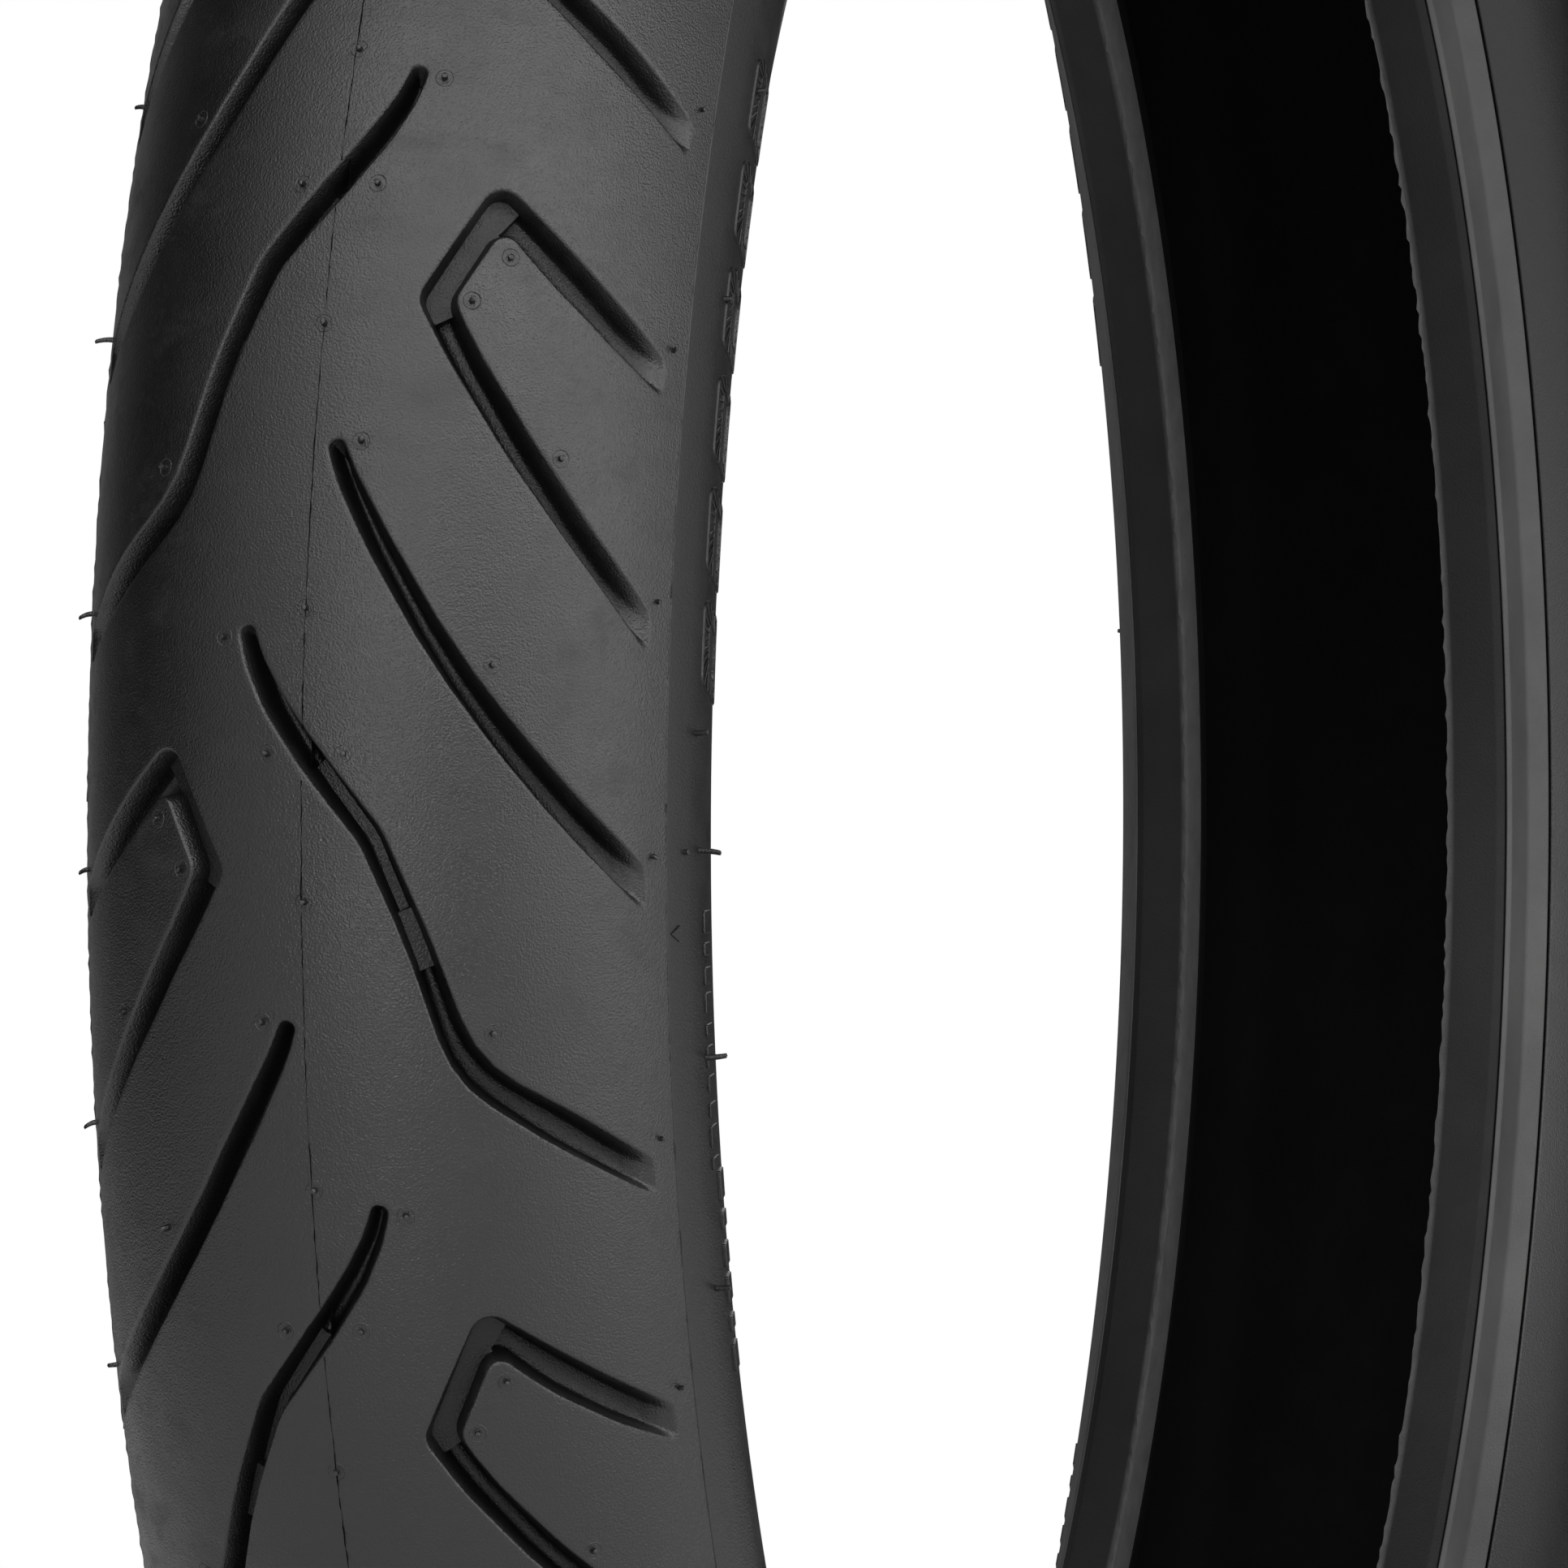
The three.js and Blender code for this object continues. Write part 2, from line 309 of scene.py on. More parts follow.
def rubber(name, shade, rough, grain, blotch=0.35, gloss=0.5, streaks=0.0):
    """Matt moulded rubber: a sandy grain of a height in mm, an uneven finish with scuffs across it, and
    a little bloom."""
    material, tree, bsdf = shader(name, Specular_IOR_Level=gloss)
    place = add_node(tree, "ShaderNodeTexCoord").outputs["Object"]
    bloom = remap(tree, noise(tree, place, 28, 5, 0.6), 0.35, 0.7, 0, 1)
    dark, pale = shade * (1 - blotch), shade * (1 + blotch)
    tree.links.new(shades(tree, bloom, (dark,) * 3, (pale, pale, pale * 0.97)), bsdf.inputs["Base Color"])
    finish = remap(tree, noise(tree, place, 120, 5, 0.7), 0.3, 0.7, rough - 0.05, rough + 0.05)
    scuff = remap(tree, noise(tree, stretched(tree, place, 0.12), 170, 4, 0.7), 0.52, 0.7, 0, streaks)
    tree.links.new(math_node(tree, "ADD", finish, scuff), bsdf.inputs["Roughness"])
    coarse = bump(tree, noise(tree, place, 700, 2, 0.5), grain * 0.12 * MM)
    tree.links.new(bump(tree, noise(tree, place, 2900, 1, 0.6), grain * MM, coarse), bsdf.inputs["Normal"])
    return material


def paint_groove_shade(material, gloss):
    """Paints shade into the tread's grooves: the rubber's gloss falls, down to gloss, where it lies well
    below the crown, so that the floors look darker.
    """
    tree = material.node_tree
    place = add_node(tree, "ShaderNodeTexCoord").outputs["Object"]
    parts = add_node(tree, "ShaderNodeSeparateXYZ", Vector=place).outputs
    spoke = add_node(tree, "ShaderNodeCombineXYZ", X=parts["X"], Y=parts["Z"]).outputs["Vector"]
    radius = math_node(tree, "SUBTRACT", vector_length(tree, spoke), CROWN_CENTRE * MM)
    arm = add_node(tree, "ShaderNodeCombineXYZ", X=radius, Y=parts["Y"]).outputs["Vector"]
    depth = math_node(tree, "SUBTRACT", CROWN_RADIUS * MM, vector_length(tree, arm))
    bsdf = next(n for n in tree.nodes if n.type == "BSDF_PRINCIPLED")
    own = bsdf.inputs["Specular IOR Level"]
    start, end = GROOVE_SHADE_DEPTHS
    tree.links.new(remap(tree, depth, start * MM, end * MM, own.default_value, gloss), own)


def paint_toe_light(material, shade):
    """Paints light on a material near the middle plane, at the bead's toe: a paler, speckled colour stands in
    for the light and highlights that the lamps leave out.
    """
    tree = material.node_tree
    place = add_node(tree, "ShaderNodeTexCoord").outputs["Object"]
    y = add_node(tree, "ShaderNodeSeparateXYZ", Vector=place).outputs["Y"]
    start, end = TOE_LIGHT_REACH
    toe_lit = remap(tree, math_node(tree, "ABSOLUTE", y), start * MM, end * MM, 1, 0)
    bsdf = next(n for n in tree.nodes if n.type == "BSDF_PRINCIPLED")
    mix = tree.nodes.new("ShaderNodeMix")
    mix.data_type = "RGBA"
    tree.links.new(toe_lit, mix.inputs["Factor"])
    tree.links.new(bsdf.inputs["Base Color"].links[0].from_socket, mix.inputs["A"])
    speckled_light = noise(tree, place, 260, 4, 0.7)
    tree.links.new(shades(tree, speckled_light, (shade * 0.5,) * 3, (shade * 1.5,) * 3), mix.inputs["B"])
    tree.links.new(mix.outputs["Result"], bsdf.inputs["Base Color"])


def cords(name, shade, spacing):
    """Rubbered cord: round threads side by side, under a thin skin of rubber."""
    material, tree, bsdf = shader(name, Roughness=0.62, Specular_IOR_Level=0.4)
    place = add_node(tree, "ShaderNodeTexCoord").outputs["Object"]
    scale = math.pi / (10 * spacing * MM)
    wave = add_node(tree, "ShaderNodeTexWave", Vector=place, Scale=scale, Distortion=0.2)
    wave.bands_direction = "Y"
    thread = (shade, shade * 0.95, shade * 0.85)
    tree.links.new(shades(tree, wave.outputs["Fac"], (shade * 0.5,) * 3, thread), bsdf.inputs["Base Color"])
    threads = bump(tree, wave.outputs["Fac"], 0.2 * MM)
    tree.links.new(bump(tree, noise(tree, place, 2400, 2), 0.05 * MM, threads), bsdf.inputs["Normal"])
    return material


def steel(name):
    """Drawn bead wire with a thin bronze coat."""
    material, tree, bsdf = shader(name, Metallic=1.0)
    place = add_node(tree, "ShaderNodeTexCoord").outputs["Object"]
    tarnish = noise(tree, place, 90, 4, 0.6)
    tree.links.new(shades(tree, tarnish, (0.34, 0.24, 0.13), (0.62, 0.47, 0.28)), bsdf.inputs["Base Color"])
    tree.links.new(remap(tree, tarnish, 0.3, 0.7, 0.22, 0.42), bsdf.inputs["Roughness"])
    tree.links.new(bump(tree, noise(tree, place, 1500, 2), 0.01 * MM), bsdf.inputs["Normal"])
    return material


TREAD_RUBBER = rubber("tread_rubber_look", 0.003, 0.37, 0.12, streaks=0.12)
# Painted shade in the tread's grooves: the gloss falls with depth.
paint_groove_shade(TREAD_RUBBER, 0.27)
SIDE_RUBBER = rubber("sidewall_rubber_look", 0.003, 0.39, 0.06, blotch=0.2, gloss=0.45)
INNER_RUBBER = rubber("inner_rubber_look", 0.012, 0.6, 0.03)
LINER_RUBBER = rubber("liner_rubber_look", 0.002, 0.7, 0.03, gloss=0.08)
CORD = cords("cord_look", 0.1, 1.1)
FABRIC = rubber("fabric_look", 0.005, 0.6, 0.08, gloss=0.2)
# Painted light on the bead's toe: a paler, speckled colour near the middle plane.
paint_toe_light(FABRIC, 0.05)
STRIP_RUBBER = rubber("rim_strip_look", 0.03, 0.55, 0.05)
STEEL = steel("steel_look")
# The parting fins are near black and dull: painted shadow along the parting line.
PARTING_SHADOW = rubber("parting_shadow_look", 0.001, 0.9, 0.02, gloss=0.05)

# ---------- the tread pattern ----------

# The centre line of each groove on the -Y side: (across, round, width, bend radius).
S_GROOVE = [
    (9.9, 25.4, 2.6, 0),
    (9.0, 22, 3.0, 20),
    (7.0, 17.3, 3.5, 30),
    (2.3, 10, 4.1, 60),
    (-10, -5.2, 3.9, 8),
    (-16.6, -20, 3.8, 60),
    (-23.3, -40, 4.5, 20),
    (-38, -50, 5.8, 80),
    (-55, -61.3, 4.8, 0),
]
LONG_GROOVE = [
    (-2.7, 52.5, 2.6, 0),
    (-4.6, 47.5, 3.2, 20),
    (-10, 37.7, 3.8, 60),
    (-20, 21.6, 4.1, 80),
    (-30, 9, 4.5, 80),
    (-40, -1.9, 5.2, 80),
    (-55, -15.7, 5.4, 0),
]
CHEVRON_GROOVE = [
    (-55, 24.9, 4.6, 0),
    (-40, 40.9, 4.5, 60),
    (-30, 53, 4.7, 60),
    (-20, 67, 4.5, 40),
    (-15.9, 74.3, 4.9, 3),
    (-24.1, 90.1, 4.8, 3.4),
    (-31, 84.3, 5.7, 60),
    (-40, 77, 6.3, 80),
    (-55, 66.8, 4.9, 0),
]
SHOULDER_END = 50  # a groove that reaches this far across ends parallel to the tread's edge

# Raised stretches of a groove's floor: (the line they follow, depth of the floor below the tread).
RAISED_FLOORS = [
    ([(-0.9, 5.2), (-10, -5.2), (-15, -15.9)], 4.2),
    ([(-15, -15.9), (-18.2, -24.8)], 3.2),
    ([(-17.4, 71.6), (-15.9, 74.3), (-24.1, 90.1), (-26.5, 88.3)], 3.1),
]
GROOVE_DEPTH = 5.0
# Depth of the floors elsewhere, at distances across: they run out towards the shoulder.
FLOOR_RUN = [(28, GROOVE_DEPTH), (46, 4.0), (49, 3.1), (51, 1.8), (53.1, 0.0)]
FLOOR_STEP = 0.25  # length of the slope at the end of a raised stretch
FLOOR_REACH = 2.6  # half the width of a raised stretch, past the groove's walls
CORNER_REACH = 1.2  # how far past a bend in its line each part of it goes

# One pitch of the tread holds these grooves: (centre line, side, shift in pitches).
LAYOUT = [
    (S_GROOVE, 1, 0),
    (LONG_GROOVE, 1, 0),
    (CHEVRON_GROOVE, 1, 0),
    (S_GROOVE, -1, 0.5),
    (LONG_GROOVE, -1, -0.5),
    (CHEVRON_GROOVE, -1, -0.5),
]

# The line between one pitch and the next, which crosses no groove.
PITCH_LINE = [
    (-SEAM, 99.5),
    (-16, 99.5),
    (-13, 114.5),
    (0, 120.5),
    (8, 104.5),
    (20, 82.5),
    (35, 62.5),
    (SEAM, 47.5),
]

# A groove's section, from the tread in: (distance inside its outline, share of its depth).
WALL = [(-0.3, 0.0), (-0.08, 0.012), (0.14, 0.08), (0.85, 0.74), (1.15, 0.92), (1.5, 1.0)]
GUARD = -0.9  # a last loop on the flat tread, so that the rim stays crisp
TIP = 0.47  # radius of a groove's tip, as a share of its width there
SHOULDER_TIP = 1.1  # radius of its corners at the shoulder

# Spacing of the tread mesh's points
GROOVE_STEP = 1.85
PITCH_LINE_STEP = 3.4
SEAM_PARTS = 48
TOP_GRID = {"spacing": 3.3, "clear": 1.5, "past_guard": 1.2}
UNDER_GRID = {"spacing": 9, "clear": 5}
STAGGER = 0.87  # distance between the rows of a grid, in spacings
FOLD_SLACK = 0.03  # how far short of its distance from the outline a moved point may be
CLOSEST = 0.2  # a moved point this near the one before it is dropped
ARMS_APART = 12  # a longer gap than this, round the tyre, lies between two arms of a groove
FOOT_REACH = 1.5  # outline points this near a line across the pattern count as on it


def groove_outline(line):
    """The closed outline of a groove: both edges of its centre line, with a round tip."""
    centre = [Vector(p[:2]) for p in line]
    along = [(b - a).normalized() for a, b in zip(centre, centre[1:])]
    left, right = [], []
    last = len(line) - 1
    for i, (point, (across, _, width, bend)) in enumerate(zip(centre, line)):
        before, after = along[max(i - 1, 0)], along[min(i, last - 1)]
        mitre = Vector((-before.y - after.y, before.x + after.x))
        push = mitre * width / mitre.length_squared
        radius = bend
        if i in (0, last):
            radius = width * TIP
            if abs(across) > SHOULDER_END:
                push = Vector((0, width / 2 / before.x))
                radius = SHOULDER_TIP
        left.append((*(point + push), radius))
        right.append((*(point - push), radius))
    points = rounded(left + right[::-1], arc_step=0.3)
    if area(points) < 0:
        points = points[::-1]
    return fine(points, GROOVE_STEP)


def placed(points, side, shift):
    """The drawing's points, or their mirror image, moved round by a number of pitches."""
    out = np.array(points) if side > 0 else np.array(points)[::-1] * (-1, 1)
    return out + (0, shift * PITCH)


def offset_loop(outline, inside):
    """The outline moved inside by a distance, without the points where it would fold over."""
    moved = outline - outward(outline) * inside
    kept = moved[np.abs(distance(moved, outline)) > abs(inside) - FOLD_SLACK]
    gap = np.linalg.norm(kept - np.roll(kept, 1, axis=0), axis=1)
    return kept[gap > CLOSEST]


def bar_depth(points, raised):
    """Depth of the raised stretches of the floors, and a great depth everywhere else."""
    depth = np.full(len(points), 2 * GROOVE_DEPTH)
    for line, floor in raised:
        for i, (start, end) in enumerate(zip(line, line[1:])):
            axis = end - start
            size = np.linalg.norm(axis)
            rel = points - start
            along = rel @ (axis / size)
            aside = np.abs(rel @ (np.array([-axis[1], axis[0]]) / size))
            before = along + (CORNER_REACH if i else 0)
            after = size - along + (CORNER_REACH if i < len(line) - 2 else 0)
            share = np.clip(np.minimum(before, after) / FLOOR_STEP + 0.5, 0, 1) * (aside < FLOOR_REACH)
            own = floor + (GROOVE_DEPTH - floor) * (1 - share)
            depth = np.where(share > 0, np.minimum(depth, own), depth)
    return depth


def step_lines(raised):
    """The edges of the raised stretches, which the mesh has to follow."""
    lines = []
    for line, _ in raised:
        for foot, beyond in ((line[0], line[1]), (line[-1], line[-2])):
            way = (beyond - foot) / np.linalg.norm(beyond - foot)
            aside = np.array([-way[1], way[0]]) * FLOOR_REACH
            for shift in (-FLOOR_STEP / 2, FLOOR_STEP / 2):
                lines.append((foot + way * shift - aside, foot + way * shift + aside))
    return lines


def triangulate(points, edges, border):
    """Triangles inside the border, whose corners are the given points and the crossings of edges."""
    found, _, faces, *_ = delaunay_2d_cdt([Vector(p) for p in points], edges, [border], 1, 1e-5)
    return np.array([tuple(p) for p in found]), [tuple(f) for f in faces]


def cell_border():
    """The outline of one pitch of the tread, anticlockwise."""
    top = []
    for (x0, y0), (x1, y1) in zip(PITCH_LINE, PITCH_LINE[1:]):
        parts = math.ceil(math.hypot(x1 - x0, y1 - y0) / PITCH_LINE_STEP)
        top += [(x0 + (x1 - x0) * k / parts, y0 + (y1 - y0) * k / parts) for k in range(parts)]
    top = np.array(top + [PITCH_LINE[-1]])
    steps = np.arange(1, SEAM_PARTS)[:, None] / SEAM_PARTS
    bottom = top - (0, PITCH)
    right = bottom[-1] + (top[-1] - bottom[-1]) * steps
    left = top[0] + (bottom[0] - top[0]) * steps
    return np.concatenate([bottom, right, top[::-1], left])


def grid(border, spacing, clear):
    """Staggered points inside the border that stay clear of it."""
    low, high = border.min(0), border.max(0)
    rows = np.arange(low[1], high[1], spacing * STAGGER)
    points = [
        (x + (spacing / 2 if k % 2 else 0), y)
        for k, y in enumerate(rows)
        for x in np.arange(low[0], high[0], spacing)
    ]
    points = np.array(points)
    return points[distance(points, border) > clear]


def tread_surface(border):
    """The top of one pitch: (across, round, height) of each point, and the triangles."""
    outlines = [placed(groove_outline(line), side, shift) for line, side, shift in LAYOUT]
    raised = []
    for side, half in ((1, 0), (-1, 0.5)):
        for line, depth in RAISED_FLOORS:
            for shift in (half - 1, half):
                own = [placed([point], side, shift)[0] for point in line]
                if distance(np.array(own[:1]), border)[0] > 0:
                    raised.append((own, depth))
    points, edges = list(border), []
    for outline in outlines:
        for inside in [GUARD] + [x for x, _ in WALL]:
            loop = offset_loop(outline, inside)
            first = len(points)
            points += list(loop)
            edges += [(first + i, first + (i + 1) % len(loop)) for i in range(len(loop))]
    for start, end in step_lines(raised):
        edges.append((len(points), len(points) + 1))
        points += [start, end]
    for outline in outlines:
        side = np.sign(outline[np.abs(outline[:, 0]).argmax(), 0])
        for foot, _ in FLOOR_RUN[1:]:
            near = np.abs(outline[:, 0] - side * foot) < FOOT_REACH
            for low, high in end_spans(outline[near]):
                edges.append((len(points), len(points) + 1))
                points += [np.array([side * foot, low]), np.array([side * foot, high])]
    spare = grid(border, TOP_GRID["spacing"], TOP_GRID["clear"])
    nearest = np.max([distance(spare, outline) for outline in outlines], axis=0)
    points += list(spare[nearest < GUARD - TOP_GRID["past_guard"]])
    flat, faces = triangulate(points, edges, list(range(len(border))))
    height = np.zeros(len(flat))
    where, share = zip(*WALL)
    depth = np.interp(np.abs(flat[:, 0]), *zip(*FLOOR_RUN))
    for outline in outlines:
        inside = distance(flat, outline)
        height = np.minimum(height, -np.interp(inside, where, share) * depth)
    height = np.maximum(height, -bar_depth(flat, raised))
    return np.column_stack([flat, height]), faces


def end_spans(points):
    """The stretches round the tyre that a groove's points cover, one for each of its arms."""
    values = np.sort(points[:, 1])
    cuts = np.flatnonzero(np.diff(values) > ARMS_APART)
    return [(part[0], part[-1]) for part in np.split(values, cuts + 1) if len(part)]


def layer_depth(share, middle, edge):
    """How deep a layer lies under the crown: the same up to two thirds of the way across."""
    return middle + (edge - middle) * np.clip((share - 2 / 3) * 3, 0, 1)


def tread():
    """One pitch of the tread, closed underneath and along the seams, repeated round the tyre."""
    border = cell_border()
    top, top_faces = tread_surface(border)
    inner = list(border) + list(grid(border, UNDER_GRID["spacing"], UNDER_GRID["clear"]))
    under, under_faces = triangulate(inner, [], list(range(len(border))))
    under = np.column_stack([under, -layer_depth(np.abs(under[:, 0]) / SEAM, *CAP_INNER)])
    cell = np.concatenate([top, under])
    faces = top_faces + [tuple(len(top) + i for i in face[::-1]) for face in under_faces]
    count = len(border)
    for i in range(count):
        k = (i + 1) % count
        if abs(border[i][0]) > SEAM - 0.01 and abs(border[k][0] - border[i][0]) < 0.01:
            faces.append((i, len(top) + i, len(top) + k, k))
    cells = []
    for pitch in range(PITCHES):
        cells.append((tread_place(cell[:, 0], cell[:, 1] + pitch * PITCH, cell[:, 2]), faces))
    points, faces = joined(cells)
    add_piece("tread", points, faces, TREAD_RUBBER, "tread_rubber", ["tread_cap"], crease=60)


tread()

# ---------- rings ----------


def crown_arc(depths, start=0.0, end=1.0, steps=20):
    """A line under the crown, from one share of the way across to another, as (radius, y)."""
    share = np.linspace(start, end, steps + 1)
    radius = CROWN_RADIUS - layer_depth(share, *depths)
    lean = share * SEAM / CROWN_RADIUS
    return np.column_stack([CROWN_CENTRE + radius * np.cos(lean), radius * np.sin(lean)])


def both_sides(line):
    """A line that starts at the centre plane, continued on the other side."""
    return np.concatenate([line[:0:-1] * (1, -1), line])


def shifted(line, by):
    """An open line moved sideways, to its left."""
    along = np.diff(line, axis=0)
    normal = np.column_stack([-along[:, 1], along[:, 0]])
    normal /= np.linalg.norm(normal, axis=1, keepdims=True)
    mitre = np.concatenate([normal[:1], normal]) + np.concatenate([normal, normal[-1:]])
    return line + 2 * by * mitre / np.sum(mitre * mitre, axis=1, keepdims=True)


def strip(line, near, far):
    """The closed section between two copies of a line, at two distances from it."""
    return np.concatenate([shifted(line, near), shifted(line, far)[::-1]])


# From the crown down the sidewall, round the bead core and up to the end of the ply's turn-up.
CARCASS_FOOT = [
    (250, 43, 15),
    (242.5, 40.3, 12),
    (227.5, 26.4, 4),
    (219.4, 26.4, 1.8),
    (219.9, 31.25, 1.8),
    (230.3, 31.25, 3),
    (238.3, 38.7, 0),
]
LINER_FOOT = [*CARCASS_FOOT[:2], (227.5, 26.4, 4), (224.8, 26.4, 0)]
SIDEWALL_OUTER = [(257, 47.2, 18), (250, 46.4, 25), (241.5, 43.7, 25), (232.7, 38.15, 0.4)]
SIDEWALL_INNER = [
    (233.9, 37, 0.3),
    (237.2, 40.1, 0.4),
    (239.5, 37.85, 0.4),
    (242.4, 40.55, 3),
    (250, 43.2, 10),
]
RIM_STRIP = [
    (218.5, 33.85, 0.2),
    (219.5, 34.8, 0.7),
    (229, 34.8, 2),
    (232.5, 37.9, 0.4),
    (233.6, 36.75, 0.3),
    (229.4, 33, 0.2),
    (228.6, 33.85, 0.2),
]
CHAFER = [
    (224.5, 23.9, 0.3),
    (216, 23.9, 0.4),
    (217.4, 32.5, 1),
    (218.35, 33.7, 0.3),
    (228.3, 33.7, 0.1),
    (228.3, 33, 0.1),
    (218.33, 33, 0.2),
    (217.46, 24.65, 0.2),
    (224.5, 24.65, 0.2),
]
FILLER = [
    (226.85, 26.6, 0.2),
    (226.85, 31.1, 0.2),
    (230.35, 31.1, 0.8),
    (237.8, 37.95, 0.2),
    (238.4, 36.75, 0.2),
    (227.3, 26.6, 0.2),
]
CORE = {"low": 220.05, "high": 226.65, "inside": 26.55, "outside": 31.1}
WRAP = 0.5
WIRE = {"rows": 6, "columns": 3, "radius": 0.47, "clear": 0.12, "sides": 8, "steps": 160}


def foot_line(depths, foot):
    """The crown line and the rounded line below it, on both sides of the tyre."""
    crown = crown_arc(depths)
    below = rounded([(*crown[-1], 0), *foot], closed=False)
    return both_sides(np.concatenate([crown, below[1:]]))


def add_ring(node, section, material, slot):
    """The piece that takes the place of a CAD node: its section, turned about the axle."""
    points, faces = ring_mesh(section)
    add_piece(f"{node}_ring", points, faces, material, slot, [node])


def add_pair(node, section, material, slot):
    """The ring on the +Y side, called left, and its mirror image."""
    add_ring(f"{node}_left", section, material, slot)
    add_ring(f"{node}_right", section * (1, -1), material, slot)


def crown_layers():
    outer, inner = (both_sides(crown_arc(depths)) for depths in BASE)
    add_ring("tread_base", np.concatenate([outer, inner[::-1]]), INNER_RUBBER, "inner_rubber")
    for node, layer in (("breaker_outer", BREAKER_OUTER), ("breaker_inner", BREAKER_INNER)):
        faces = [both_sides(crown_arc((depth, depth), end=layer["reach"])) for depth in layer["depths"]]
        add_ring(node, np.concatenate([faces[0], faces[1][::-1]]), CORD, "cord_ply")


def casing():
    carcass = foot_line(CARCASS, CARCASS_FOOT)
    lining = foot_line(CARCASS, LINER_FOOT)
    add_ring("carcass_ply_outer", strip(carcass, 0, PLY), CORD, "cord_ply")
    add_ring("carcass_ply_inner", strip(carcass, PLY + GAP, 2 * PLY + GAP), CORD, "cord_ply")
    top = 2 * (PLY + GAP)
    add_ring("inner_liner", strip(lining, top, top + LINER), LINER_RUBBER, "liner_rubber")


def sidewall_section():
    top = 1 + GAP / SEAM
    seam = crown_arc((0, 0), top, top, 1)[0]
    under = crown_arc((CARCASS[1] - GAP,) * 2, top, top, 1)[0]
    return rounded([(*seam, 0.15), *SIDEWALL_OUTER, *SIDEWALL_INNER, (*under, 0.3)])


def sides_and_beads():
    start = CUSHION["start"]
    cushion = [crown_arc(CUSHION[face], start, steps=10) for face in ("outer", "inner")]
    add_pair("edge_cushion", np.concatenate([cushion[0], cushion[1][::-1]]), INNER_RUBBER, "inner_rubber")
    add_pair("sidewall", sidewall_section(), SIDE_RUBBER, "sidewall_rubber")
    add_pair("rim_strip", rounded(RIM_STRIP), STRIP_RUBBER, "sidewall_rubber")
    add_pair("chafer", rounded(CHAFER), FABRIC, "bead_fabric")
    add_pair("bead_filler", rounded(FILLER), INNER_RUBBER, "inner_rubber")
    low, high, inside, outside = CORE.values()
    wrap = [
        (high, outside, 0.1),
        (low, outside, 1),
        (low, inside, 1),
        (high, inside, 0.1),
        (high, inside + WRAP, 0.1),
        (low + WRAP, inside + WRAP, 0.6),
        (low + WRAP, outside - WRAP, 0.6),
        (high, outside - WRAP, 0.1),
    ]
    add_pair("bead_wrap", rounded(wrap), FABRIC, "bead_fabric")


def bead_wires():
    """Each bead core is a bundle of round wires, side by side and on top of each other."""
    low, high, inside, outside = CORE.values()
    angle = np.arange(WIRE["sides"]) * 2 * math.pi / WIRE["sides"]
    circle = WIRE["radius"] * np.column_stack([np.cos(angle), np.sin(angle)])
    margin = WRAP + WIRE["clear"] + WIRE["radius"]
    for end, side in (("left", 1), ("right", -1)):
        wires = []
        for radius in np.linspace(low + margin, high - GAP - WIRE["radius"], WIRE["rows"]):
            for y in np.linspace(inside + margin, outside - margin, WIRE["columns"]):
                wires.append(ring_mesh((circle + (radius, y)) * (1, side), WIRE["steps"]))
        node = f"bead_wire_{end}"
        add_piece(f"{node}_bundle", *joined(wires), STEEL, "bead_steel", [node])


crown_layers()
casing()
sides_and_beads()
bead_wires()

# ---------- places on the sidewall ----------


def sidewall_line():
    """The sidewall's outer face from the seam down, with the distance along it."""
    seam = crown_arc((0, 0), 1, 1, 1)[0]
    line = fine(rounded([(*seam, 0), *SIDEWALL_OUTER], closed=False), 0.5, closed=False)
    return line, np.concatenate([[0], np.cumsum(np.linalg.norm(np.diff(line, axis=0), axis=1))])


SIDE_LINE, SIDE_ALONG = sidewall_line()


def side_place(side, down, round_, height=0.0):
    """The point on the sidewall at a distance below the seam, or at a height over it."""
    above, here, below = (
        np.array([np.interp(down + reach, SIDE_ALONG, SIDE_LINE[:, k]) for k in (0, 1)])
        for reach in (-0.2, 0, 0.2)
    )
    slope = below - above
    slope /= np.linalg.norm(slope, axis=0)
    radius = here[0] + slope[1] * height
    y = here[1] - slope[0] * height
    return ring_place(radius, side * y, (round_ + PHASE) / TYRE_RADIUS)


def on_tread(across, round_):
    """A function of small steps across, round and out from a point on the tread."""
    return lambda a, r, h: tread_place(across + a, round_ + r, h)


def on_side(side, down, round_):
    """The same for a point on the sidewall."""
    return lambda a, r, h: side_place(side, down + a, round_ + r, h)


# ---------- vents ----------

# The vents on the -Y side, in the order of the pattern's drawing: (across, round).
VENTS = [
    (-13.5, 108.3),
    (-5.7, 91.2),
    (6, 91.2),
    (-26.2, 81.8),
    (-21.2, 74.4),
    (-6.8, 52.3),
    (-36.3, 52.2),
    (-27.4, 20.2),
    (-27.4, -34.5),
    (0.2, 27.8),
    (0.2, 69.8),
]
SHOULDER_VENTS = [(-54.6, 115), (-54.6, 73.5), (-54.6, 32.3), (-54.6, -8.5)]
# The vents on the sidewall: (distance below the seam, round, length).
SIDE_VENTS = [(5.0, -8, 0.7), (8.0, 11.8, 2.0), (9.4, -7.8, 3.4), (11, -43, 3.0), (9, -82.5, 2.2)]
VENT_RADIUS = 0.55
VENT_RING = {"radius": 1.3, "width": 0.12, "height": 0.025}
VENT_HEIGHT = (0.6, 1.2)
HAIR_LENGTH = (1.0, 3.6)
CUT_OFF = (0.2, 0.5)  # share of its length that a sidewall vent keeps where the photo shows none
ROOT = 0.4  # how deep a stem goes into the rubber

chance = random.Random(11)


def local_frame(place, step=0.1):
    """A point of the surface, and unit steps across, round and out of it."""
    here = place(0, 0, 0)
    round_ = place(0, step, 0) - here
    out = place(0, 0, step) - here
    round_ /= np.linalg.norm(round_)
    out /= np.linalg.norm(out)
    return here, np.cross(out, round_), round_, out


